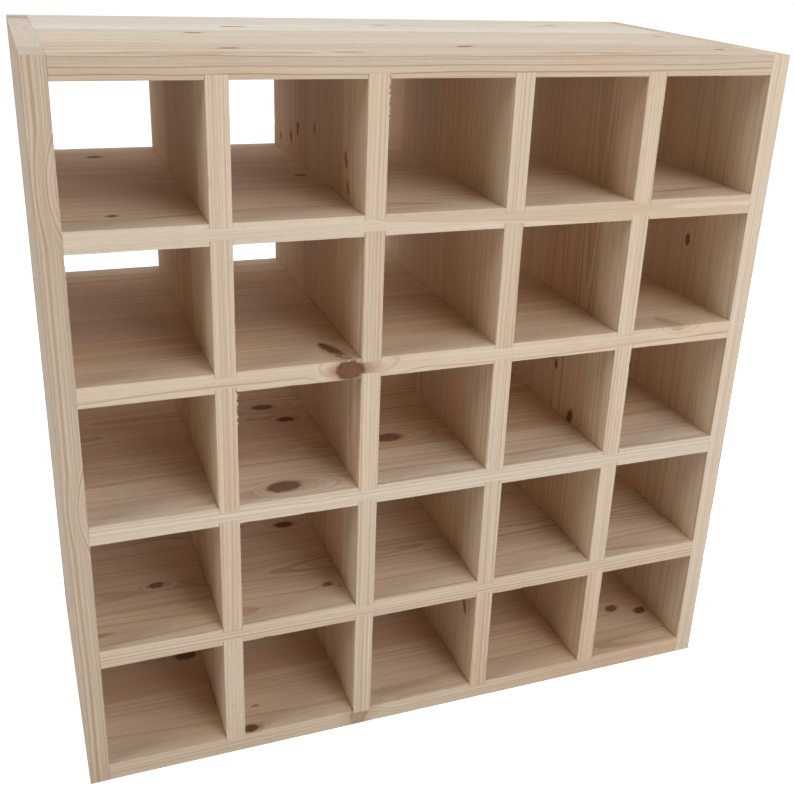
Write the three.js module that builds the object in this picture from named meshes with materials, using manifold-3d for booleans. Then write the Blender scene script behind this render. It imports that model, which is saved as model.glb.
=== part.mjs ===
// A wooden wine rack of five rows of five cells, in solid pine board.
// Two sides stand full height. The top, the bottom and four shelves run between them on hidden
// dowels. Twenty short dividers stand in shallow grooves, called dadoes, cut across the boards
// above and below them. The cells are open at the front and at the back.
// Millimetres, +Z up. The origin is the middle of the footprint, on the floor. The front faces -Y,
// and +X is to the right as seen from the front.
import * as THREE from "three";
import { mergeVertices } from "three/addons/utils/BufferGeometryUtils.js";
import Module from "manifold-3d";

const wasm = await Module();
wasm.setup();

// Driving dimensions.
const ROWS = 5;
const COLUMNS = 5;
const CELL_WIDTH = 100.2; // clear width of a cell
const CELL_HEIGHT = 99.7; // clear height of a cell
const BOARD = 16.5; // thickness of every board
const DEPTH = 280; // width of every board, which is the depth of the rack
const DADO = 4; // depth of the grooves that hold the dividers
const GAP = 0.3; // clearance between boards that meet, and round a dowel
const DOWEL_RADIUS = 4;
const DOWEL_LENGTH = 30;
const DOWEL_CHAMFER = 0.8;
const DOWEL_IN_SIDE = 11; // how much of a dowel is in the side board
const DOWEL_INSET = 50; // from the front or back edge of a board to its dowel
const DOWEL_FACETS = 16;
const CUT_PAST = 2; // how far a cutter runs past the face that it opens

// Dimensions that follow from them.
const COLUMN_PITCH = CELL_WIDTH + BOARD;
const ROW_PITCH = CELL_HEIGHT + BOARD;
const WIDTH = COLUMNS * COLUMN_PITCH + BOARD;
const HEIGHT = ROWS * ROW_PITCH + BOARD;
const SIDE_X = (WIDTH - BOARD) / 2; // middle of a side board's thickness
const INNER_FACE_X = WIDTH / 2 - BOARD; // the face of a side that the shelves butt against
const SHELF_LENGTH = 2 * (INNER_FACE_X - GAP);
const DIVIDER_HEIGHT = CELL_HEIGHT + 2 * (DADO - GAP);
const DADO_WIDTH = BOARD + 2 * GAP;
const DOWEL_Y = [
  { name: "front", y: -(DEPTH / 2 - DOWEL_INSET) },
  { name: "back", y: DEPTH / 2 - DOWEL_INSET },
];
const ENDS = [
  { name: "left", sign: -1 },
  { name: "right", sign: 1 },
];

// Middle height of the board above row r, where row 0 is the top row. Row 5 gives the bottom board.
const boardHeight = (row) => HEIGHT - BOARD / 2 - row * ROW_PITCH;

// Middle of the divider to the right of column c, where column 1 is the leftmost.
const dividerX = (column) => -WIDTH / 2 + BOARD / 2 + column * COLUMN_PITCH;

// The horizontal boards, from the top down. above and below say which faces have dadoes.
const levels = [{ name: "top_panel", row: 0, above: false, below: true }];
for (let row = 1; row < ROWS; row += 1) {
  levels.push({ name: `shelf_${row}`, row, above: true, below: true });
}
levels.push({ name: "bottom_panel", row: ROWS, above: true, below: false });

// A closed three.js geometry as a solid that can be cut.
function toSolid(geometry) {
  const bare = geometry.clone();
  bare.deleteAttribute("normal");
  bare.deleteAttribute("uv");
  const merged = mergeVertices(bare, 1e-4);
  return new wasm.Manifold(
    new wasm.Mesh({
      numProp: 3,
      vertProperties: new Float32Array(merged.attributes.position.array),
      triVerts: new Uint32Array(merged.index.array),
    }),
  );
}

// A cut solid as a three.js geometry with flat faces.
function toGeometry(solid) {
  const mesh = solid.getMesh();
  const geometry = new THREE.BufferGeometry();
  geometry.setAttribute("position", new THREE.BufferAttribute(mesh.vertProperties, 3));
  geometry.setIndex(new THREE.BufferAttribute(mesh.triVerts, 1));
  const faceted = geometry.toNonIndexed();
  faceted.computeVertexNormals();
  return faceted;
}

// Cuts every cutter out of a blank.
function cut(blank, cutters) {
  return cutters.reduce((rest, cutter) => rest.subtract(toSolid(cutter)), toSolid(blank));
}

// A box with its middle at x, y, z.
function block(width, depth, height, x = 0, y = 0, z = 0) {
  return new THREE.BoxGeometry(width, depth, height).translate(x, y, z);
}

// A round bore along X, from xFrom to xTo.
function bore(xFrom, xTo, y, z) {
  const radius = DOWEL_RADIUS + GAP;
  const length = Math.abs(xTo - xFrom);
  return new THREE.CylinderGeometry(radius, radius, length, DOWEL_FACETS)
    .rotateZ(Math.PI / 2)
    .translate((xFrom + xTo) / 2, y, z);
}

// A side board stands full height. Two blind dowel bores meet the end of each horizontal board.
function sideBoard(sign) {
  const mouth = -sign * (BOARD / 2 + CUT_PAST);
  const floor = sign * (DOWEL_IN_SIDE + GAP - BOARD / 2);
  const cutters = levels.flatMap(({ row }) =>
    DOWEL_Y.map(({ y }) => bore(mouth, floor, y, boardHeight(row) - HEIGHT / 2)),
  );
  return toGeometry(cut(block(BOARD, DEPTH, HEIGHT), cutters));
}

// A horizontal board has two dowel bores in each end, and one dado for each divider on the faces
// that carry dividers. The dadoes run right through from front to back.
function horizontalBoard({ above, below }) {
  const boreDepth = DOWEL_LENGTH - DOWEL_IN_SIDE;
  const cutters = ENDS.flatMap(({ sign }) =>
    DOWEL_Y.map(({ y }) =>
      bore(
        sign * (SHELF_LENGTH / 2 + CUT_PAST),
        sign * (SHELF_LENGTH / 2 - boreDepth),
        y,
        0,
      ),
    ),
  );
  const faces = [];
  if (above) faces.push(1);
  if (below) faces.push(-1);
  for (const face of faces) {
    const middle = face * (BOARD / 2 - DADO + (DADO + CUT_PAST) / 2);
    for (let column = 1; column < COLUMNS; column += 1) {
      cutters.push(
        block(DADO_WIDTH, DEPTH + 2 * CUT_PAST, DADO + CUT_PAST, dividerX(column), 0, middle),
      );
    }
  }
  return toGeometry(cut(block(SHELF_LENGTH, DEPTH, BOARD), cutters));
}

// A dowel is a short beech rod with chamfered ends, turned about its length and laid along X.
function dowelGeometry() {
  const half = DOWEL_LENGTH / 2;
  const tip = DOWEL_RADIUS - DOWEL_CHAMFER;
  const profile = [
    new THREE.Vector2(0, -half),
    new THREE.Vector2(tip, -half),
    new THREE.Vector2(DOWEL_RADIUS, -half + DOWEL_CHAMFER),
    new THREE.Vector2(DOWEL_RADIUS, half - DOWEL_CHAMFER),
    new THREE.Vector2(tip, half),
    new THREE.Vector2(0, half),
  ];
  return new THREE.LatheGeometry(profile, DOWEL_FACETS).rotateZ(Math.PI / 2);
}

// Untreated softwood. Boards from different planks differ a little in tone.
function pine(tone) {
  return new THREE.MeshStandardMaterial({
    color: new THREE.Color(0xdcc3a3).multiplyScalar(tone),
    roughness: 0.72,
    metalness: 0,
  });
}

function beech() {
  return new THREE.MeshStandardMaterial({ color: 0xcfa77c, roughness: 0.6, metalness: 0 });
}

function place(group, name, geometry, material, x, y, z) {
  const mesh = new THREE.Mesh(geometry, material);
  mesh.name = name;
  mesh.position.set(x, y, z);
  group.add(mesh);
}

const rack = new THREE.Group();
rack.name = "wine_rack";

// The carcass: two sides, the top and the bottom.
const carcass = new THREE.Group();
for (const { name, sign } of ENDS) {
  place(carcass, `side_${name}`, sideBoard(sign), pine(1), sign * SIDE_X, 0, HEIGHT / 2);
}

// The horizontal boards.
for (const level of levels) {
  const tone = 0.99 - 0.01 * (level.row % 2);
  place(carcass, level.name, horizontalBoard(level), pine(tone), 0, 0, boardHeight(level.row));
}
rack.add(carcass);

// The dividers, a row at a time from the top, left to right.
const dividers = new THREE.Group();
for (let row = 1; row <= ROWS; row += 1) {
  const middle = (boardHeight(row - 1) + boardHeight(row)) / 2;
  for (let column = 1; column < COLUMNS; column += 1) {
    const tone = 0.96 + 0.02 * ((row + 2 * column) % 3);
    const geometry = block(BOARD, DEPTH, DIVIDER_HEIGHT);
    place(dividers, `divider_r${row}_c${column}`, geometry, pine(tone), dividerX(column), 0, middle);
  }
}
rack.add(dividers);

// The dowels, two in each end of each horizontal board.
const dowels = new THREE.Group();
for (const { name: end, sign } of ENDS) {
  const x = sign * (INNER_FACE_X + DOWEL_IN_SIDE - DOWEL_LENGTH / 2);
  for (const { name: level, row } of levels) {
    for (const { name: edge, y } of DOWEL_Y) {
      const name = `dowel_${level}_${end}_${edge}`;
      place(dowels, name, dowelGeometry(), beech(), x, y, boardHeight(row));
    }
  }
}
rack.add(dowels);

export default rack;
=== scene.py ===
import itertools
import math

import bpy
import numpy as np
from mathutils import Matrix, Vector


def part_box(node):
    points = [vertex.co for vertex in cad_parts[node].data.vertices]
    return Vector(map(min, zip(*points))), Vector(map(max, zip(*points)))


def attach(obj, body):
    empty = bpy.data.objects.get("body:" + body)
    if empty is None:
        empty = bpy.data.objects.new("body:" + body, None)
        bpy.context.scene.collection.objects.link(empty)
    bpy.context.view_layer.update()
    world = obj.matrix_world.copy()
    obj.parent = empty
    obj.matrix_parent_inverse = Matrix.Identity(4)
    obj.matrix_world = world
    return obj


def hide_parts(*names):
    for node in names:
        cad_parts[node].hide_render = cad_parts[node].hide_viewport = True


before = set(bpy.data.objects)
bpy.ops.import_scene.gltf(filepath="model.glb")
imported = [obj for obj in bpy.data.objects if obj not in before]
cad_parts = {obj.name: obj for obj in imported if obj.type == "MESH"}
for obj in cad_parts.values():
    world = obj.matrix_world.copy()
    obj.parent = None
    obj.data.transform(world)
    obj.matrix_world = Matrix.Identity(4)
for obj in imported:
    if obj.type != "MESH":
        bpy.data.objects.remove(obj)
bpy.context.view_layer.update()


# ---------------------------------------------------------------------------------------------
# Sides. Two full-height boards of pine, glued up from upright staves about 50 mm wide, planed and
# left bare, so the grain runs up and the end grain shows at the top. Blind bores in the inner
# faces take the dowels of the horizontal boards.

MM = 0.001


class Wiring:
    """Places shader nodes in a tree. An input is a number, a colour or another node's output."""

    def __init__(self, tree):
        self.tree = tree

    def place(self, kind, settings=(), **inputs):
        node = self.tree.nodes.new("ShaderNode" + kind)
        for name, value in dict(settings).items():
            setattr(node, name, value)
        for name, value in inputs.items():
            self.join(node.inputs[name.replace("_", " ")], value)
        return node

    def join(self, socket, value):
        if isinstance(value, bpy.types.NodeSocket):
            self.tree.links.new(value, socket)
        else:
            socket.default_value = value

    def math(self, operation, *values, clamp=False):
        node = self.place("Math", {"operation": operation, "use_clamp": clamp})
        for socket, value in zip(node.inputs, values):
            self.join(socket, value)
        return node.outputs[0]

    def vector(self, operation, *values):
        """values are vectors, except the last of SCALE, which is a number."""
        node = self.place("VectorMath", {"operation": operation})
        sockets = [s for s in node.inputs if s.enabled]
        for socket, value in zip(sockets, values):
            self.join(socket, value)
        return next(s for s in node.outputs if s.enabled)

    def ramp(self, value, low, high, to_low=0.0, to_high=1.0):
        """A soft step: to_low where value is under low, to_high where it is over high."""
        node = self.place("MapRange", {"interpolation_type": "SMOOTHSTEP"})
        for socket, given in zip(node.inputs, (value, low, high, to_low, to_high)):
            self.join(socket, given)
        return node.outputs[0]

    def noise(self, position, detail=1.0, roughness=0.5):
        node = self.place("TexNoise", Vector=position, Scale=1.0, Detail=detail, Roughness=roughness)
        return node.outputs["Fac"], node.outputs["Color"]

    def blend(self, factor, first, second, mode="MIX"):
        node = self.place("Mix", {"data_type": "RGBA", "blend_type": mode, "clamp_factor": True})
        self.join(node.inputs[0], factor)
        self.join(node.inputs[6], first)
        self.join(node.inputs[7], second)
        return node.outputs[2]

    def parts(self, vector):
        return self.place("SeparateXYZ", Vector=vector).outputs

    def group(self, group, **inputs):
        node = self.place("Group", {"node_tree": group}, **inputs)
        return node.outputs


def new_material(name):
    """An empty material, and the wiring of its nodes."""
    material = bpy.data.materials.new(name)
    material.use_nodes = True
    material.node_tree.nodes.clear()
    return material, Wiring(material.node_tree)


def new_group(name, inputs, outputs):
    """A node group. inputs maps a name to its first value, where a tuple is a vector or a colour.
    outputs maps a name to how many numbers it holds. Gives the group, its wiring and its ends."""
    group = bpy.data.node_groups.new(name, "ShaderNodeTree")
    kinds = {1: "NodeSocketFloat", 3: "NodeSocketVector", 4: "NodeSocketColor"}
    for label, value in inputs.items():
        size = len(value) if isinstance(value, tuple) else 1
        socket = group.interface.new_socket(label, in_out="INPUT", socket_type=kinds[size])
        socket.default_value = value
    for label, size in outputs.items():
        group.interface.new_socket(label, in_out="OUTPUT", socket_type=kinds[size])
    wiring = Wiring(group)
    given = group.nodes.new("NodeGroupInput")
    made = group.nodes.new("NodeGroupOutput")
    return group, wiring, given.outputs, made.inputs


LOG_STEP = (1.31, 0.77, 5.33)  # from the wood of one stave to the wood of the next


def make_ring_group():
    """Growth rings round the pith of the log that a stave was sawn from. Pith is the place of the
    pith across and through the board, and the width of a ring. Each year darkens from pale
    earlywood to latewood and ends sharply, and no two years are quite alike."""
    group, w, given, made = new_group(
        "growth rings",
        {"Position": (0.0, 0.0, 0.0), "Pith": (0.0, 0.0, 0.004), "Stave": (0.5, 0.5, 0.0),
         "Bulge": 0.0, "Contrast": 0.6, "Wander": 0.011, "Ripple": 0.0015},
        {"Latewood": 1},
    )
    number = w.parts(given["Stave"])[2]
    pith = w.parts(given["Pith"])
    in_log = w.vector("ADD", given["Position"], w.vector("SCALE", LOG_STEP, number))
    slow = w.noise(w.vector("MULTIPLY", in_log, (8.0, 8.0, 2.4)), 1.0)[1]
    fine = w.noise(w.vector("MULTIPLY", in_log, (55.0, 55.0, 9.0)), 1.0)[1]
    slow = w.vector("SCALE", w.vector("SUBTRACT", slow, (0.5, 0.5, 0.5)), given["Wander"])
    fine = w.vector("SCALE", w.vector("SUBTRACT", fine, (0.5, 0.5, 0.5)), given["Ripple"])
    bent = w.vector("ADD", w.vector("ADD", given["Position"], slow), fine)
    from_pith = w.vector("MULTIPLY", w.vector("SUBTRACT", bent, given["Pith"]), (1.0, 1.0, 0.0))
    radius = w.math("SUBTRACT", w.vector("LENGTH", from_pith), given["Bulge"])
    years = w.math("ADD", w.math("DIVIDE", radius, pith[2]), w.math("MULTIPLY", number, 0.37))
    uneven = w.place("TexNoise", {"noise_dimensions": "1D"}, W=w.math("MULTIPLY", years, 0.43))
    uneven = w.math("MULTIPLY", w.math("SUBTRACT", uneven.outputs["Fac"], 0.5), 1.3)
    years = w.math("ADD", years, uneven)
    year = w.math("FLOOR", years)
    season = w.math("FRACT", years)
    strength = w.place("TexWhiteNoise", {"noise_dimensions": "1D"},
                       W=w.math("ADD", year, w.math("MULTIPLY", number, 17.0)))
    strength = w.ramp(strength.outputs["Value"], 0.0, 1.0, 0.6, 1.0)
    darkening = w.math("POWER", w.ramp(season, 0.30, 0.92), 1.5)
    winter = w.ramp(season, 0.955, 1.0, 1.0, 0.0)
    latewood = w.math("MULTIPLY", w.math("MULTIPLY", darkening, winter), strength)
    latewood = w.math("MULTIPLY", latewood, given["Contrast"])
    w.join(made["Latewood"], latewood)
    return group


def make_fibre_group():
    """Fibres, resin canals and cloudy patches, long and thin along the grain."""
    group, w, given, made = new_group(
        "fibres", {"Position": (0.0, 0.0, 0.0), "Stave": (0.5, 0.5, 0.0)},
        {"Streaks": 1, "Fibres": 1, "Canals": 1, "Clouds": 1},
    )
    number = w.parts(given["Stave"])[2]
    in_log = w.vector("ADD", given["Position"], w.vector("SCALE", LOG_STEP, number))
    streaks = w.noise(w.vector("MULTIPLY", in_log, (520.0, 520.0, 6.0)), 2.0)[0]
    fibres = w.noise(w.vector("MULTIPLY", in_log, (2600.0, 2600.0, 45.0)), 2.0)[0]
    canals = w.noise(w.vector("MULTIPLY", in_log, (1500.0, 1500.0, 110.0)), 0.0)[0]
    clouds = w.noise(w.vector("MULTIPLY", in_log, (16.0, 16.0, 5.0)), 2.0)[0]
    w.join(made["Streaks"], streaks)
    w.join(made["Fibres"], fibres)
    w.join(made["Canals"], w.ramp(canals, 0.70, 0.78))
    w.join(made["Clouds"], clouds)
    return group


KNOT_MASKS = ("Bulge", "Core", "Edge", "Halo", "Grain")  # passed on from one knot to the next


def make_knot_group():
    """A branch that grew out from the pith. The rings bulge round it, and it cuts as a knot: its
    core with rings and checks, its bark at the edge, and a halo of darker wood."""
    group, w, given, made = new_group(
        "knot",
        {"Position": (0.0, 0.0, 0.0), "Pith": (0.0, 0.0, 0.004), "Stave": (0.5, 0.5, 0.0),
         "Place": (0.0, 0.0, 0.0), "Size": 0.006, "Lean": 0.3, "Number": 0.0, "Push": 1.0,
         "Strength": 1.0, **{label: 0.0 for label in KNOT_MASKS}},
        {label: 1 for label in KNOT_MASKS},
    )
    flat = (1.0, 1.0, 0.0)
    outward = w.vector("MULTIPLY", w.vector("SUBTRACT", given["Place"], given["Pith"]), flat)
    depth = w.vector("LENGTH", outward)
    rise = w.place("CombineXYZ", Z=w.math("MULTIPLY", depth, given["Lean"])).outputs[0]
    axis = w.vector("NORMALIZE", w.vector("ADD", outward, rise))
    offset = w.vector("SUBTRACT", given["Position"], given["Place"])
    ragged, tint = w.noise(w.vector("SCALE", given["Position"], 260.0), 2.0)
    rough = w.vector("SCALE", w.vector("SUBTRACT", tint, (0.5, 0.5, 0.5)), 0.0042)
    along = w.vector("DOT_PRODUCT", offset, axis)
    aside = w.vector("SUBTRACT", offset, w.vector("SCALE", axis, along))
    taper = w.math("ADD", 1.0, w.math("DIVIDE", along, depth))
    taper = w.math("MAXIMUM", w.math("MINIMUM", taper, 1.5), 0.12)
    size = w.math("MULTIPLY", given["Size"], taper)
    near = w.vector("MULTIPLY", w.vector("ADD", aside, rough), (1.0, 1.0, 0.66))
    reach = w.math("DIVIDE", w.vector("LENGTH", near), size)
    wide = w.math("DIVIDE", w.vector("LENGTH", w.vector("MULTIPLY", aside, (1.0, 1.0, 0.33))), size)
    here = w.math("COMPARE", w.parts(given["Stave"])[2], given["Number"], 0.5)
    shown = w.math("MULTIPLY", here, given["Strength"])
    push = w.math("MULTIPLY", w.ramp(wide, 0.1, 2.6, 1.0, 0.0), w.math("MULTIPLY", size, 0.8))
    push = w.math("MULTIPLY", w.math("MULTIPLY", push, given["Push"]), here)
    core = w.math("MULTIPLY", w.ramp(reach, 0.74, 1.12, 1.0, 0.0), shown)
    edge = w.math("MULTIPLY", w.ramp(reach, 0.60, 0.92), w.ramp(reach, 0.97, 1.22, 1.0, 0.0))
    bark = w.math("MULTIPLY", edge, w.ramp(ragged, 0.30, 0.60, 0.35, 1.0))
    edge = w.math("MULTIPLY", bark, shown)
    level = w.vector("CROSS_PRODUCT", axis, (0.0, 0.0, 1.0))
    turn = w.math("ARCTAN2", w.vector("DOT_PRODUCT", aside, level), w.parts(aside)[2])
    checks = w.place("TexNoise", {"noise_dimensions": "1D"}, W=w.math("MULTIPLY", turn, 1.9), Scale=1.0)
    checks = w.math("MULTIPLY", w.ramp(checks.outputs["Fac"], 0.60, 0.68), w.ramp(reach, 0.15, 0.45))
    edge = w.math("MAXIMUM", edge, w.math("MULTIPLY", w.math("MULTIPLY", checks, core), 0.8))
    halo = w.math("MULTIPLY", w.ramp(wide, 0.5, 1.6, 1.0, 0.0), shown)
    rings = w.math("SINE", w.math("MULTIPLY", w.math("MULTIPLY", reach, size), 4600.0))
    w.join(made["Bulge"], w.math("ADD", given["Bulge"], push))
    w.join(made["Core"], w.math("MAXIMUM", given["Core"], core))
    w.join(made["Edge"], w.math("MAXIMUM", given["Edge"], edge))
    w.join(made["Halo"], w.math("MAXIMUM", given["Halo"], halo))
    w.join(made["Grain"], w.math("ADD", given["Grain"], w.math("MULTIPLY", rings, core)))
    return group


def make_finish_group():
    """The colour, gloss and relief of planed softwood, from its rings, fibres and knots."""
    group, w, given, made = new_group(
        "planed pine",
        {"Stave": (0.5, 0.5, 0.0), "Latewood": 0.0, "Streaks": 0.5, "Fibres": 0.5, "Canals": 0.0,
         "Clouds": 0.5, "Core": 0.0, "Edge": 0.0, "Halo": 0.0, "Grain": 0.0, "End grain": 0.0,
         "Arris": 0.0, "Glue line": 0.0},
        {"Color": 4, "Roughness": 1, "Height": 1},
    )
    pale, cream, blush = (0.80, 0.69, 0.54, 1.0), (0.775, 0.604, 0.425, 1.0), (0.76, 0.512, 0.322, 1.0)
    summer, amber = (0.530, 0.305, 0.138, 1.0), (0.490, 0.240, 0.090, 1.0)
    # The lighter colour of the eased arrises is partly rubbed wear and partly a painted highlight.
    resin, glue, wear_and_highlight = (0.33, 0.17, 0.08, 1.0), (0.27, 0.16, 0.085, 1.0), (0.78, 0.66, 0.50, 1.0)
    knot_halo, knot_rim = (0.42, 0.185, 0.066, 1.0), (0.060, 0.021, 0.008, 1.0)
    heart_dark, heart_light = (0.085, 0.026, 0.008, 1.0), (0.290, 0.110, 0.036, 1.0)
    tone, warmth, _ = w.parts(given["Stave"])
    patchy = w.math("MULTIPLY", w.math("SUBTRACT", given["Clouds"], 0.5), 1.5)
    warm = w.ramp(w.math("ADD", warmth, patchy), 0.15, 1.1)
    # Warmth below zero blends the earlywood toward pale; on the top and the outer left side this
    # paleness is painted sheen of the light.
    early = w.blend(warm, w.blend(w.ramp(warmth, -0.5, 0.0), pale, cream), blush)
    late = w.blend(warm, summer, amber)
    dense = w.math("MULTIPLY", given["Latewood"], w.ramp(given["Halo"], 0.1, 0.9, 1.0, 0.45))
    colour = w.blend(dense, early, late)
    streak = w.math("ADD", w.math("MULTIPLY", w.math("SUBTRACT", given["Streaks"], 0.5), 0.34),
                    w.math("MULTIPLY", w.math("SUBTRACT", given["Fibres"], 0.5), 0.24))
    shade = w.math("ADD", streak, w.ramp(tone, 0.0, 1.0, 0.88, 1.05))
    shade = w.math("MULTIPLY", shade, w.ramp(given["End grain"], 0.0, 1.0, 1.0, 0.92))
    shade = w.place("CombineXYZ", X=shade, Y=shade, Z=shade).outputs[0]
    colour = w.blend(1.0, colour, shade, "MULTIPLY")
    colour = w.blend(w.math("MULTIPLY", given["Canals"], 0.2), colour, resin)
    colour = w.blend(w.math("MULTIPLY", given["Halo"], 0.82), colour, knot_halo)
    heart = w.math("ADD", w.math("MULTIPLY", given["Fibres"], 3.0),
                   w.math("MULTIPLY", given["Grain"], 0.8))
    heart = w.blend(w.ramp(heart, 0.3, 2.7), heart_dark, heart_light)
    colour = w.blend(w.math("MULTIPLY", given["Core"], 0.90), colour, heart)
    colour = w.blend(w.math("MULTIPLY", given["Edge"], 0.64), colour, knot_rim)
    open_line = w.ramp(given["End grain"], 0.0, 1.0, 0.18, 0.85)
    colour = w.blend(w.math("MULTIPLY", given["Glue line"], open_line), colour, glue)
    # The eased arrises are lightened: partly rubbed wear, partly a painted highlight.
    colour = w.blend(w.math("MULTIPLY", given["Arris"], 0.22), colour, wear_and_highlight)
    gloss = w.math("ADD", w.math("MULTIPLY", given["Latewood"], -0.12),
                   w.math("MULTIPLY", given["Fibres"], 0.18))
    gloss = w.math("ADD", gloss, w.math("MULTIPLY", given["Core"], 0.12))
    gloss = w.math("ADD", gloss, w.math("MULTIPLY", given["End grain"], 0.16))
    w.join(made["Roughness"], w.math("ADD", gloss, 0.60, clamp=True))
    w.join(made["Color"], colour)
    w.join(made["Height"], given["Fibres"])
    return group


ring_group = make_ring_group()
fibre_group = make_fibre_group()
knot_group = make_knot_group()
finish_group = make_finish_group()


BLOOM, SANDED_BLOOM = 0.04, 0.14  # sheen of the planed faces, and of the sanded outside
RIPPLE = 1.5 * MM  # how far the rings wave


def pine_material(name, middle, upright, knots=(), sheen=BLOOM, ripple=RIPPLE):
    """Bare pine for one board. The grain runs up an upright board, and along X in any other.
    middle is the middle of the board's thickness, and knots come from place_knots. sheen is the
    bloom of loose fibres, and ripple is how far the rings wave."""
    material, w = new_material(name)
    x, y, z = w.parts(w.place("TexCoord").outputs["Object"])
    through, along = (x, z) if upright else (z, x)
    position = w.place("CombineXYZ", X=y, Y=w.math("SUBTRACT", through, middle), Z=along).outputs[0]
    pith = w.place("Attribute", {"attribute_name": "pith"}).outputs["Vector"]
    stave = w.place("Attribute", {"attribute_name": "stave"}).outputs["Vector"]
    marks = w.parts(w.place("Attribute", {"attribute_name": "marks"}).outputs["Vector"])
    contrast = w.place("Attribute", {"attribute_name": "contrast"}).outputs["Fac"]
    cut = {label: 0.0 for label in KNOT_MASKS}
    for knot in knots:
        made = w.group(knot_group, Position=position, Pith=pith, Stave=stave, **knot, **cut)
        cut = {label: made[label] for label in cut}
    rings = w.group(ring_group, Position=position, Pith=pith, Stave=stave, Bulge=cut.pop("Bulge"),
                    Contrast=contrast, Ripple=ripple)
    fibres = w.group(fibre_group, Position=position, Stave=stave)
    normal = w.parts(w.place("NewGeometry").outputs["True Normal"])
    end = w.ramp(w.math("ABSOLUTE", normal[2 if upright else 0]), 0.6, 0.95)
    finish = w.group(finish_group, Stave=stave, Latewood=rings["Latewood"], End_grain=end,
                     Arris=marks[0], Glue_line=marks[1], **{f.name: f for f in fibres}, **cut)
    bump = w.place("Bump", Strength=0.5, Distance=0.0003, Height=finish["Height"])
    shader = w.place("BsdfPrincipled", Base_Color=finish["Color"], Roughness=finish["Roughness"],
                     Normal=bump.outputs[0])
    shader.inputs["IOR"].default_value = 1.48
    shader.inputs["Sheen Weight"].default_value = sheen
    shader.inputs["Sheen Roughness"].default_value = 0.45
    w.place("OutputMaterial", Surface=shader.outputs[0])
    return material


KNOT_ROOM = 11 * MM  # no glue line runs closer than this to a knot
FLAT_SAWN_SHARE = 0.3
CONTRAST = (0.42, 0.8)
WARMTH, PAINTED_SHEEN_WARMTH = (0.0, 0.85), (-0.5, 0.05)  # boards inside the rack, and the top and outer left side, made paler as painted sheen of the light on them


def glue_up(rng, front, back, knots=(), edges=(), first=None, contrast=CONTRAST, warmth=WARMTH):
    """The staves of one board, from front to back, each from its own part of a log. edges are
    the places of the glue lines in metres, where they are known. first describes the front stave:
    the place of its pith across and through the board, ring width, contrast, tone and warmth.
    For the other staves contrast is the range of how dark the latewood is, and warmth of how
    orange the wood is. A stave with a knot in it is flat-sawn, with its pith above or below."""
    across = [knot[0] * MM for knot in knots]
    if not edges:
        count = 5 + int(rng.integers(0, 2))
        widths = rng.uniform(0.8, 1.25, count)
        edges = front + (back - front) * np.cumsum(widths)[:-1] / widths.sum()
    clear = []
    for edge in edges:
        for place in sorted(across):
            if abs(edge - place) < KNOT_ROOM:
                edge = place + KNOT_ROOM
        clear.append(edge)
    lines = [front, *clear, back]
    staves = []
    for low, high in zip(lines[:-1], lines[1:]):
        knotty = [place for place in across if low <= place < high]
        flat_sawn = bool(knotty) or rng.random() < FLAT_SAWN_SHARE
        middle = knotty[0] if knotty else (low + high) / 2
        side = rng.choice([-1, 1])
        if flat_sawn:
            pith = (middle + rng.uniform(-0.014, 0.014), side * rng.uniform(0.035, 0.065))
        else:
            pith = (middle + side * rng.uniform(0.05, 0.11), rng.uniform(-0.02, 0.02))
        ring = rng.uniform(0.0013, 0.0026)
        staves.append({"front": low, "back": high, "pith": (*pith, ring),
                       "tone": rng.uniform(0.25, 0.95), "warmth": rng.uniform(*warmth),
                       "contrast": rng.uniform(*contrast)})
    if first is not None:
        across, through, ring, contrast, tone, warmth = first
        staves[0].update(pith=(across, through, ring), contrast=contrast, tone=tone, warmth=warmth)
    return staves


stave_numbers = itertools.count()


def number_staves(staves):
    """Every stave in the rack has a number of its own, which sets where its wood was in the log."""
    for stave in staves:
        stave["number"] = float(next(stave_numbers))
    return staves


ARRIS = 0.4 * MM  # how far the planed edges are eased
JOINT_ARRIS = 0.10 * MM  # the cut ends are left crisp
STATION = 2.6 * MM  # spacing of the points along an edge
TORN_STATION = 0.7 * MM  # and where the edge is torn
CORNER_ROOM = 1.7 * MM  # plain stretch next to a corner
WEAR_STEP, CHIP_STEP = 9, 45  # points from one change of wear to the next, and per chip
GLUE_WIDTH = 0.25 * MM
BEND = 0.293  # how far in from its corner the middle of a rounded edge is, as a share of its size
MARGIN = 8 * MM  # from the front and back faces to the first points behind them
NEAR = 0.1 * MM  # places closer than this are the same


def outline_sides(corners, ragged):
    """For each side of a board's outline, its direction, inward normal and points between corners."""
    sides = []
    for i, start in enumerate(corners):
        end = corners[(i + 1) % len(corners)]
        step = end - start
        length = float(np.hypot(*step))
        along = step / length
        room = min(CORNER_ROOM, 0.3 * length)
        count = max(1, round((length - 2 * room) / STATION))
        at = room + (length - 2 * room) * np.linspace(0, 1, count + 1)
        for through, low, high, _ in ragged:
            if abs(start[1] - through) + abs(end[1] - through) < NEAR:
                fine = np.abs(np.arange(low, high, TORN_STATION) - start[0])
                at = np.union1d(at, fine[(fine > room) & (fine < length - room)])
                at = at[np.append(True, np.diff(at) > 0.3 * MM)]
        sides.append((along, np.array([-along[1], along[0]]), start + at[:, None] * along))
    return sides


def worn(rng, points):
    """How far the arris is eased at each point: mostly slightly, with small chips here and there."""
    count = len(points)
    turns = np.arange(0, count + WEAR_STEP, WEAR_STEP)
    smooth = np.interp(np.arange(count), turns, rng.uniform(0.5, 1.35, len(turns)))
    eased = ARRIS * smooth * rng.uniform(0.85, 1.15, count)
    for _ in range(max(1, count // CHIP_STEP)):
        middle, depth = int(rng.integers(0, count)), rng.uniform(0.3, 1.1) * MM
        for k in range(-2, 3):
            eased[(middle + k) % count] += depth * math.exp(-0.5 * k * k) * rng.uniform(0.6, 1.2)
    return eased


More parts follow.
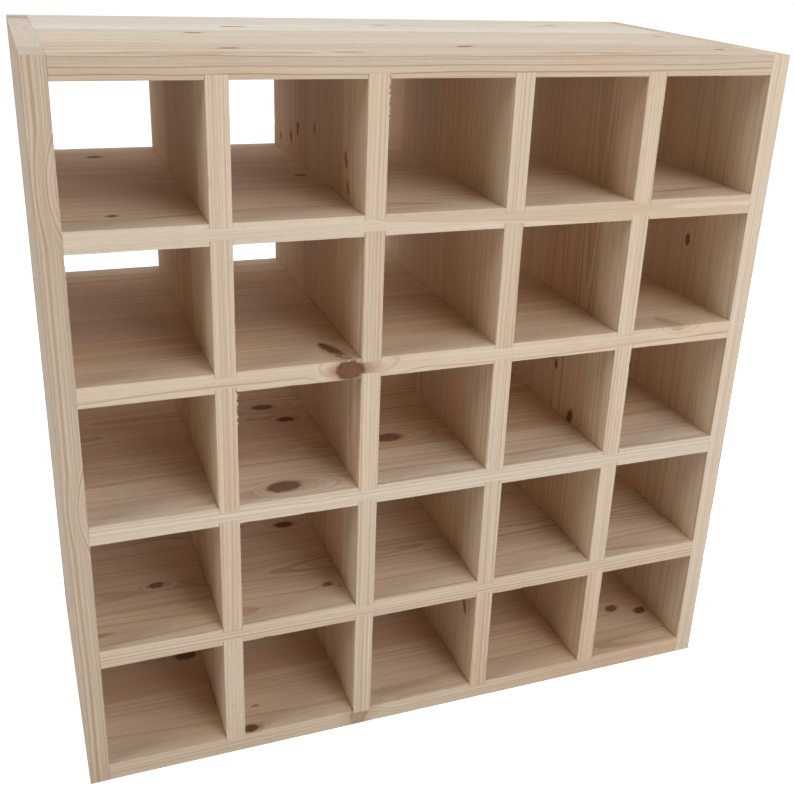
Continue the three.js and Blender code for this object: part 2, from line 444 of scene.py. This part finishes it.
def outline_points(corners, sides):
    """The points of a board's outline, which way is inward at each, and how a rounded corner
    spreads them: three points at a corner that stands out, one at a corner that goes in."""
    flat, inward, rounded = [], [], []
    for i, corner in enumerate(corners):
        before, after = sides[i - 1], sides[i]
        stands_out = before[0][0] * after[0][1] - before[0][1] * after[0][0] > 0
        if stands_out:
            flat += [corner] * 3
            inward += [before[1], (before[1] + after[1]) / math.sqrt(2), after[1]]
            rounded += [-before[0], BEND * (after[0] - before[0]), after[0]]
        else:
            flat.append(corner)
            inward.append(before[1] + after[1])
            rounded.append(np.zeros(2))
        flat += list(after[2])
        inward += [after[1]] * len(after[2])
        rounded += [np.zeros(2)] * len(after[2])
    return np.array(flat), np.array(inward), np.array(rounded)


def skin(loops, count):
    """Faces from each loop of points to the next, and one over each end."""
    faces = []
    for j in range(loops - 1):
        for i in range(count):
            k = (i + 1) % count
            faces.append((j * count + i, j * count + k, (j + 1) * count + k, (j + 1) * count + i))
    last = (loops - 1) * count
    return faces + [tuple(range(count))[::-1], tuple(range(last, last + count))]


def board_mesh(name, corners, upright, staves, rng, ragged=()):
    """A board with eased and slightly chipped arrises. corners is its outline along the grain and
    through the thickness, anticlockwise, swept from the front edge to the back. ragged lists
    stretches of the front arris that the saw left torn: (through, along from, along to, depth)."""
    corners = [np.array(c, float) for c in corners]
    flat, inward, rounded = outline_points(corners, outline_sides(corners, ragged))
    count = len(flat)
    is_corner = np.abs(rounded).sum(1) > 0
    on_bend = is_corner & (np.abs(rounded).max(1) < 0.5)
    front, back = staves[0]["front"], staves[-1]["back"]
    glue = [s["front"] for s in staves[1:]]
    beside = {round(g + side, 6) for g in glue for side in (-GLUE_WIDTH, 0, GLUE_WIDTH)}
    across = sorted(beside | {front + MARGIN, back - MARGIN})
    loops, marks = [], []

    def add_loop(y, inset, arris, line=0.0):
        radius = np.repeat(rng.uniform(1.2, 1.8, count // 3 + 1), 3)[:count] * JOINT_ARRIS
        points = flat + rounded * radius[:, None] + inward * inset[:, None]
        loops.append(np.column_stack([points, np.broadcast_to(y, count)]))
        # This arris mask lightens the rounded edges in the shader: partly rubbed wear, partly a painted
        # highlight.
        arris_wear_and_highlight = np.where(on_bend, 1.0, arris)
        marks.append(np.column_stack([arris_wear_and_highlight, np.full(count, line), np.zeros(count)]))

    zero = np.zeros(count)
    low, high = min(c[1] for c in corners), max(c[1] for c in corners)
    on_face = (np.abs(inward[:, 1]) > 0.99) & ~is_corner
    on_face &= (flat[:, 1] < low + NEAR) | (flat[:, 1] > high - NEAR)
    eased = np.where(on_face, worn(rng, flat), JOINT_ARRIS)
    lift = zero
    for through, start, stop, depth in ragged:
        torn = on_face & (np.abs(flat[:, 1] - through) < NEAR)
        torn &= (flat[:, 0] > start) & (flat[:, 0] < stop)
        eased = np.where(torn, eased + depth * rng.uniform(0, 1, count) ** 2, eased)
        splinters = np.where(rng.random(count) < 0.6, rng.uniform(0.25, 0.7, count), 0.0)
        lift = np.where(torn, depth * splinters, lift)
    add_loop(front, eased, 0.0)
    add_loop(front + BEND * eased, BEND * eased - lift, 1.0)
    add_loop(front + eased, zero, 0.0)
    for y in across:
        add_loop(y, zero, 0.0, 1.0 if any(abs(y - g) < NEAR for g in glue) else 0.0)
    eased = np.where(on_face, worn(rng, flat), JOINT_ARRIS)
    add_loop(back - eased, zero, 0.0)
    add_loop(back - BEND * eased, BEND * eased, 1.0)
    add_loop(back, eased, 0.0)

    faces = skin(len(loops), count)
    smooth = []
    for j in range(len(loops) - 1):
        on_arris = j < 2 or j >= len(loops) - 3
        smooth += [on_arris or bool(c) for c in is_corner & np.roll(is_corner, -1)]
    smooth += [False, False]
    if not upright:
        faces = [f[::-1] for f in faces]
    order = [1, 2, 0] if upright else [0, 2, 1]  # an upright board has its grain along Z
    mesh = bpy.data.meshes.new(name)
    mesh.from_pydata(np.concatenate(loops)[:, order].tolist(), [], faces)
    mesh.polygons.foreach_set("use_smooth", smooth)
    layer = mesh.attributes.new("marks", "FLOAT_VECTOR", "POINT")
    layer.data.foreach_set("vector", np.concatenate(marks).astype(np.float32).ravel())
    mesh.validate()
    mesh.update()
    return mesh


def rod_mesh(rods, sides=20):
    """Closed cylinders along X, each (lowest corner, highest corner), as one mesh."""
    places, faces = [], []
    for low, high in rods:
        radius, middle, first = (high.z - low.z) / 2, (low + high) / 2, len(places)
        for x in (low.x, high.x):
            for k in range(sides):
                turn = 2 * math.pi * (k + 0.5) / sides
                across, up = radius * math.cos(turn), radius * math.sin(turn)
                places.append((x, middle.y + across, middle.z + up))
        ring = range(first, first + sides)
        faces.append(tuple(ring)[::-1])
        faces.append(tuple(i + sides for i in ring))
        for k in range(sides):
            a, b = first + k, first + (k + 1) % sides
            faces.append((a, b, b + sides, a + sides))
    mesh = bpy.data.meshes.new("bores")
    mesh.from_pydata(places, [], faces)
    return mesh


BORE_ROOM = 0.3 * MM  # clearance round a dowel
dowel_names = sorted(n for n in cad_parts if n.startswith("dowel_"))


def bored(mesh, name):
    """Cuts the blind bores of the dowels that meet this board."""
    low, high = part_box(name)
    room = Vector((BORE_ROOM,) * 3)
    rods = []
    for dowel in dowel_names:
        a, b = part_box(dowel)
        if all(a[k] < high[k] and b[k] > low[k] for k in range(3)):
            rods.append((a - room, b + room))
    board = bpy.data.objects.new(name + "_uncut", mesh)
    drill = bpy.data.objects.new(name + "_drill", rod_mesh(rods))
    for thing in (board, drill):
        bpy.context.scene.collection.objects.link(thing)
    cut = board.modifiers.new("bores", "BOOLEAN")
    cut.operation, cut.solver, cut.object = "DIFFERENCE", "EXACT", drill
    bpy.context.view_layer.update()
    cut_board = board.evaluated_get(bpy.context.evaluated_depsgraph_get())
    done = bpy.data.meshes.new_from_object(cut_board)
    for thing in (board, drill):
        bpy.data.objects.remove(thing)
    return done


def write_staves(mesh, staves):
    """Gives each face the pith, ring width, tone, warmth, contrast and number of its stave."""
    count = len(mesh.polygons)
    centres = np.empty(count * 3)
    mesh.polygons.foreach_get("center", centres)
    edges = [s["front"] for s in staves[1:]]
    which = np.searchsorted(edges, centres.reshape(-1, 3)[:, 1])
    pith = np.array([s["pith"] for s in staves])[which]
    about = np.array([(s["tone"], s["warmth"], s["number"]) for s in staves])[which]
    for label, values in (("pith", pith), ("stave", about)):
        layer = mesh.attributes.new(label, "FLOAT_VECTOR", "FACE")
        layer.data.foreach_set("vector", values.astype(np.float32).ravel())
    layer = mesh.attributes.new("contrast", "FLOAT", "FACE")
    layer.data.foreach_set("value", np.array([s["contrast"] for s in staves], np.float32)[which])


def fit_board(node, corners, upright, staves, rng, material, ragged=(), bores=True):
    """Makes a board in place of its plain CAD node."""
    mesh = board_mesh(node + "_wood", corners, upright, staves, rng, ragged)
    if bores:
        mesh = bored(mesh, node)
    write_staves(mesh, staves)
    mesh.materials.clear()
    mesh.materials.append(material)
    piece = bpy.data.objects.new(node + "_wood", mesh)
    bpy.context.scene.collection.objects.link(piece)
    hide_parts(node)
    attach(piece, "root")


def place_knots(knots, staves, middle):
    """Each knot is (across, through, along, size) in millimetres, its lean along the grain, how
    far it pushes the rings aside, and how dark it is: 0 where the branch itself was planed off."""
    placed = []
    for across, through, along, size, lean, push, strength in knots:
        stave = next(s for s in staves if s["front"] <= across * MM < s["back"])
        placed.append({"Place": (across * MM, through * MM - middle, along * MM), "Size": size * MM,
                       "Lean": lean, "Number": stave["number"], "Push": push, "Strength": strength})
    return placed


def upright_corners(low, high):
    return [(low.z, low.x), (high.z, low.x), (high.z, high.x), (low.z, high.x)]


def side_section(node, seed, knots, edges=(), first=None, ragged=(), ripple=RIPPLE, warmth=WARMTH):
    low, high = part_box(node)
    rng = np.random.default_rng(seed)
    staves = number_staves(glue_up(rng, low.y, high.y, knots, edges, first, warmth=warmth))
    middle = (low.x + high.x) / 2
    knots = place_knots(knots, staves, middle)
    material = pine_material(node + "_pine", middle, True, knots, SANDED_BLOOM, ripple)
    fit_board(node, upright_corners(low, high), True, staves, rng, material, ragged)


# The outer left side is made paler than the other boards: painted sheen of the light on it.
side_section("side_left", 11,
             [(-138, -281, 512, 6, 0.0, 2.4, 0.0), (-138, -281, 262, 5.5, 0.0, 2.2, 0.0),
              (9, -300, 384, 3, 0.9, 0.8, 0.4), (116, -292, 597, 2.5, 0.0, 1, 0.8)],
             edges=(-0.095, -0.045, 0.035, 0.092), first=(-0.168, 0.036, 0.0034, 0.70, 0.15, 0.25),
             ragged=[(-0.2835, 0.364, 0.461, 0.7 * MM)], ripple=0.6 * MM, warmth=PAINTED_SHEEN_WARMTH)
side_section("side_right", 12,
             [(40, 300, 200, 6, 0.7, 1, 0.9), (-60, 300, 430, 5, 0.7, 1, 0.8),
              (95, 300, 505, 4, 0.6, 1, 0.8)],
             first=(-0.150, 0.06, 0.0032, 0.5, 0.9, -0.1))


# ---------------------------------------------------------------------------------------------
# Dowels. Short beech rods with straight flutes that let the glue out, and chamfered ends.
# Two in each end of a horizontal board hold it to the side, hidden in blind bores.

def make_beech():
    """Pale pinkish brown, even, with short darker ray flecks along the grain."""
    material, w = new_material("beech_dowel")
    x, y, z = w.parts(w.place("TexCoord").outputs["Object"])
    position = w.place("CombineXYZ", X=y, Y=z, Z=x).outputs[0]
    fibres = w.group(fibre_group, Position=position)
    ray = w.noise(w.vector("MULTIPLY", position, (2300.0, 2300.0, 420.0)), 0.0)[0]
    dark, light, fleck = (0.50, 0.315, 0.19, 1.0), (0.62, 0.43, 0.28, 1.0), (0.30, 0.16, 0.085, 1.0)
    tone = w.blend(fibres["Streaks"], dark, light)
    tone = w.blend(w.ramp(ray, 0.60, 0.70, 0.0, 0.6), tone, fleck)
    bump = w.place("Bump", Strength=0.4, Distance=0.0002, Height=fibres["Fibres"])
    shader = w.place("BsdfPrincipled", Base_Color=tone, Normal=bump.outputs[0],
                     Roughness=w.ramp(fibres["Fibres"], 0.3, 0.7, 0.5, 0.68))
    w.place("OutputMaterial", Surface=shader.outputs[0])
    return material


FLUTES = 18
FLUTE_DEPTH = 0.22 * MM
CHAMFER = 0.8 * MM
beech = make_beech()


def dowel_section(node):
    low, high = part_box(node)
    middle, radius = (low + high) / 2, (high.z - low.z) / 2
    turns = np.linspace(0, 2 * math.pi, 4 * FLUTES, endpoint=False)
    fluted = radius - FLUTE_DEPTH * (0.5 + 0.5 * np.cos(FLUTES * turns)) ** 2
    rings = [(low.x, radius - CHAMFER), (low.x + CHAMFER, radius), (middle.x, radius),
             (high.x - CHAMFER, radius), (high.x, radius - CHAMFER)]
    places = []
    for x, limit in rings:
        r = np.minimum(fluted, limit)
        around = zip(r * np.cos(turns), r * np.sin(turns))
        places += [(x, middle.y + across, middle.z + up) for across, up in around]
    mesh = bpy.data.meshes.new(node + "_beech")
    mesh.from_pydata(places, [], skin(len(rings), len(turns)))
    mesh.materials.append(beech)
    piece = bpy.data.objects.new(node + "_beech", mesh)
    bpy.context.scene.collection.objects.link(piece)
    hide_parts(node)
    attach(piece, "root")


for dowel in dowel_names:
    dowel_section(dowel)


# ---------------------------------------------------------------------------------------------
# Horizontal boards. The bottom, the four shelves and the top, of the same glued-up pine, run
# between the sides with the grain along them. Dadoes cut across their faces hold the dividers.

PUSHED = 0.30 * MM  # room on the left of a divider, which was pushed to the right in its dado
DADO_PLAY = 0.06 * MM  # and the room on its right and under its end
END_FIT = 0.24 * MM  # the glued ends close up to the sides


def horizontal_corners(node):
    low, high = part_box(node)
    above, below = [], []
    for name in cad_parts:
        if name.startswith("divider_"):
            a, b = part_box(name)
            if low.z < a.z < high.z:
                above.append((a.x - PUSHED, b.x + DADO_PLAY, a.z - DADO_PLAY))
            if low.z < b.z < high.z:
                below.append((a.x - PUSHED, b.x + DADO_PLAY, b.z + DADO_PLAY))
    low.x, high.x = low.x - END_FIT, high.x + END_FIT
    corners = [(low.x, low.z)]
    for left, right, floor in sorted(below):
        corners += [(left, low.z), (left, floor), (right, floor), (right, low.z)]
    corners += [(high.x, low.z), (high.x, high.z)]
    for left, right, floor in sorted(above, reverse=True):
        corners += [(right, high.z), (right, floor), (left, floor), (left, high.z)]
    corners.append((low.x, high.z))
    return corners


def horizontal_section(node, seed, knots, edges=(), first=None, ragged=(), contrast=CONTRAST,
                       warmth=WARMTH, sheen=BLOOM, ripple=RIPPLE):
    low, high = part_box(node)
    rng = np.random.default_rng(seed)
    staves = number_staves(glue_up(rng, low.y, high.y, knots, edges, first, contrast, warmth))
    middle = (low.z + high.z) / 2
    knots = place_knots(knots, staves, middle)
    material = pine_material(node + "_pine", middle, False, knots, sheen, ripple)
    fit_board(node, horizontal_corners(node), False, staves, rng, material, ragged)


horizontal_section("bottom_panel", 21,
                   [(-106, 16.5, -150, 2, 0.6, 0.6, 0.35), (-134, 16.5, -161, 4.5, 0.4, 1, 1),
                    (-14, 16.5, -199, 6, 0.9, 1.2, 0.9), (-74, 16.5, 244, 4, 0.6, 1, 0.9),
                    (-86, 16.5, 272, 4, 0.6, 1, 0.9), (-139, 8, -62, 5, 0.2, 1.5, 0.35)],
                   first=(-0.128, -0.060, 0.0036, 0.45, 0.6, 0.5))
horizontal_section("shelf_4", 22,
                   [(8, 132.7, -94, 5, 0.5, 1.2, 1), (-103, 132.7, -82, 3, 0.8, 1.6, 0.7),
                    (-59, 132.7, -227, 4, 0.6, 1, 0.8)],
                   first=(-0.120, -0.045, 0.0030, 0.8, 0.7, 0.3))
horizontal_section("shelf_3", 23,
                   [(37, 249, -108, 5, 1.4, 1.2, 0.9), (5, 249, -92, 4.5, 0.6, 1.2, 1),
                    (-120, 249, -128, 8, 0.9, 1.2, 0.8), (-58, 249, -13, 7, 0.8, 0.9, 0.8)],
                   first=(-0.128, 0.055, 0.0040, 0.45, 0.85, -0.2))
horizontal_section("shelf_2", 24,
                   [(-139, 357, -77, 7.5, 0.3, 1.1, 1), (-139, 366, 228, 5, 0.3, 1.4, 0.2)],
                   edges=(-0.098, -0.05, 0.0, 0.05, 0.095),
                   first=(-0.088, 0.012, 0.0036, 0.6, 0.8, 0.4), ripple=0.9 * MM)
horizontal_section("shelf_1", 25,
                   [(101, 481, -240, 4, 0.9, 1, 0.9), (-104, 481, -247, 2.5, 0.6, 1, 0.9),
                    (0, 481, -79, 3, 0.8, 1, 0.8)],
                   edges=(-0.1155, -0.066, -0.020, 0.030, 0.072, 0.112),
                   first=(-0.184, 0.003, 0.0050, 0.36, 0.78, -0.08),
                   ragged=[(0.4648, -0.275, -0.255, 0.8 * MM)])
# The top is made paler than the other boards: painted sheen of the light on it.
horizontal_section("top_panel", 26,
                   [(1, 597.5, -166, 3.5, 1.5, 1, 0.8), (53, 597.5, -125, 4, 1.9, 1, 0.5),
                    (-101, 597.5, -160, 3.5, 1.6, 1, 0.8), (78, 597.5, 15, 3.5, 1.2, 1, 0.4),
                    (-86, 597.5, 30, 3.5, 1.3, 1, 0.8), (92, 597.5, 197, 3, 1.2, 1, 0.4),
                    (-5, 597.5, 259, 3, 1.0, 1, 0.6), (-104, 597.5, 255, 3, 1.0, 1, 0.6)],
                   edges=(-0.070, -0.022, 0.024, 0.066, 0.107),
                   first=(-0.128, -0.046, 0.0050, 1.0, 0.22, 0.30),
                   contrast=(0.25, 0.5), warmth=PAINTED_SHEEN_WARMTH, sheen=SANDED_BLOOM, ripple=4.0 * MM)


# ---------------------------------------------------------------------------------------------
# Dividers. Short lengths of the same pine board stand on end between the horizontal boards, with
# the grain up and their ends glued in the dadoes. The sawn front edges are a little torn.

DIVIDER_KNOTS = {
    "divider_r1_c2": [(114, -66, 493, 2.5, 0.8, 1, 0.8), (77, -66, 500, 3, 1.2, 1, 0.9),
                      (53, -66, 511, 3, 1.3, 1, 0.9), (-1, -66, 521, 2.5, 1.2, 1, 0.6),
                      (-91, -66, 511, 3, 0.9, 1, 0.6), (-97, -66, 491, 2.5, 0.9, 1, 0.5)],
    "divider_r3_c4": [(-40, 167, 295, 2.5, 1.2, 1, 0.9), (-75, 167, 254, 4, 0.7, 1.2, 0.9)],
    "divider_r5_c3": [(-116, 50, 90, 3, 1.5, 1.4, 0.7)],
    "divider_r4_c1": [(60, -175, 190, 3, 0.7, 1, 0.8)],
    "divider_r2_c4": [(30, 175, 420, 3.5, 0.8, 1, 0.8)],
}
TORN_ARRISES = {  # on the left (-1) or the right (1), from and to, and how deep the splinters are
    "divider_r1_c2": (1, 0.553, 0.584, 2.2 * MM),
    "divider_r3_c1": (1, 0.322, 0.350, 2.6 * MM),
}
SET_BACK = 0.35 * MM  # the most that an edge stands behind the edges of the shelves
TORN_LENGTH, TORN_DEPTH = 20 * MM, 0.5 * MM


def divider_section(node, seed):
    low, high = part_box(node)
    rng = np.random.default_rng(seed)
    low.y, high.y = low.y + rng.uniform(0, SET_BACK), high.y - rng.uniform(0, SET_BACK)
    first = (-0.14 + rng.uniform(-0.03, 0.03), rng.choice([-1, 1]) * rng.uniform(0.03, 0.075),
             rng.uniform(0.0023, 0.0040), rng.uniform(0.4, 0.6), rng.uniform(0.55, 0.9),
             rng.uniform(0.05, 0.5))
    knots = DIVIDER_KNOTS.get(node, ())
    staves = number_staves(glue_up(rng, low.y, high.y, knots, (), first))
    middle = (low.x + high.x) / 2
    material = pine_material(node + "_pine", middle, True, place_knots(knots, staves, middle))
    start = rng.uniform(low.z, high.z - TORN_LENGTH)
    torn = (rng.choice([-1, 1]), start, start + TORN_LENGTH, TORN_DEPTH)
    side, start, stop, depth = TORN_ARRISES.get(node, torn)
    torn = (low.x if side < 0 else high.x, start, stop, depth)
    fit_board(node, upright_corners(low, high), True, staves, rng, material, [torn], bores=False)


for row in range(1, 6):
    for column in range(1, 5):
        divider_section(f"divider_r{row}_c{column}", 100 + 10 * row + column)


# ---------------------------------------------------------------------------------------------
# Floor, light and camera. The rack stands on a wide, pale, matt floor against plain white, under
# five soft lamps. The camera looks down at it from the front left.

FLOOR_REACH = 9
floor_material, w = new_material("floor")
seen = w.place("LightPath").outputs["Is Camera Ray"]
floor_shader = w.place("BsdfPrincipled", Base_Color=(0.88, 0.88, 0.88, 1), Roughness=0.8,
                       Emission_Color=(1, 1, 1, 1),
                       Emission_Strength=w.math("MULTIPLY", seen, 0.85))
w.place("OutputMaterial", Surface=floor_shader.outputs[0])
floor_corners = [(x * FLOOR_REACH, y * FLOOR_REACH, 0) for x, y in ((-1, -1), (1, -1), (1, 1), (-1, 1))]
floor_mesh = bpy.data.meshes.new("floor")
floor_mesh.from_pydata(floor_corners, [], [(0, 1, 2, 3)])
floor_mesh.materials.append(floor_material)
floor = bpy.data.objects.new("floor", floor_mesh)
floor.location.z = -0.5 * MM
bpy.context.scene.collection.objects.link(floor)

world = bpy.data.worlds.new("studio")
world.use_nodes = True
world.node_tree.nodes.clear()
bpy.context.scene.world = world
w = Wiring(world.node_tree)
backward = w.parts(w.vector("NORMALIZE", w.place("TexCoord").outputs["Generated"]))[1]
sky = w.place("Background", Color=(1.10, 1.00, 0.96, 1.0),
              Strength=w.ramp(backward, -0.1, 0.3, 0.0, 0.58))
white = w.place("Background", Color=(1, 1, 1, 1), Strength=1.0)
mixed = w.place("MixShader", Fac=w.place("LightPath").outputs["Is Camera Ray"])
w.join(mixed.inputs[1], sky.outputs[0])
w.join(mixed.inputs[2], white.outputs[0])
w.place("OutputWorld", Surface=mixed.outputs[0])


LAMP_WIDTH = 1.2
LAMPS_FACE = Vector((0, 0, 0.3))


def softbox(name, place, power, colour):
    """A round soft lamp that faces the middle of the rack."""
    data = bpy.data.lights.new(name, "AREA")
    data.shape, data.size, data.energy, data.color = "DISK", LAMP_WIDTH, power, colour
    lamp = bpy.data.objects.new(name, data)
    lamp.location = place
    lamp.rotation_euler = (LAMPS_FACE - Vector(place)).to_track_quat("-Z", "Y").to_euler()
    bpy.context.scene.collection.objects.link(lamp)


SOFTBOXES = {  # place, power in watts, and colour
    "overhead": ((0.0, 0.1, 2.6), 18, (0.80, 1.00, 1.22)),
    "centre": ((0.5, -1.9, 2.2), 7.5, (1.00, 1.00, 1.00)),
    "right_high": ((1.5, -1.6, 2.2), 12.5, (0.95, 1.00, 1.11)),
    "right_low": ((0.9, -2.5, 1.1), 24.5, (0.94, 1.00, 1.12)),
    "left": ((-2.5, -0.7, 1.8), 19, (1.00, 1.00, 0.98)),
}
for name, (place, power, colour) in SOFTBOXES.items():
    softbox(name, place, power, colour)

CAMERA_PLACE = Vector((-0.3179, -0.8785, 0.6858))
CAMERA_AIM = Vector((0.34574, 0.85417, -0.38840))  # the way it looks
CAMERA_UP = Vector((0.10196, 0.37545, 0.92122))
LENS = 48.28  # millimetres, on a frame 36 mm wide
SHIFT = (-0.0255, -0.0333)
camera_data = bpy.data.cameras.new("camera")
camera_data.sensor_width = 36
camera_data.lens = LENS
camera_data.shift_x, camera_data.shift_y = SHIFT
camera = bpy.data.objects.new("camera", camera_data)
back = -CAMERA_AIM.normalized()
right = CAMERA_UP.cross(back).normalized()
up = back.cross(right)
turned = Matrix((right, up, back)).transposed().to_4x4()
camera.matrix_world = Matrix.Translation(CAMERA_PLACE) @ turned
bpy.context.scene.collection.objects.link(camera)
bpy.context.scene.camera = camera
bpy.context.scene.view_settings.view_transform = "Standard"
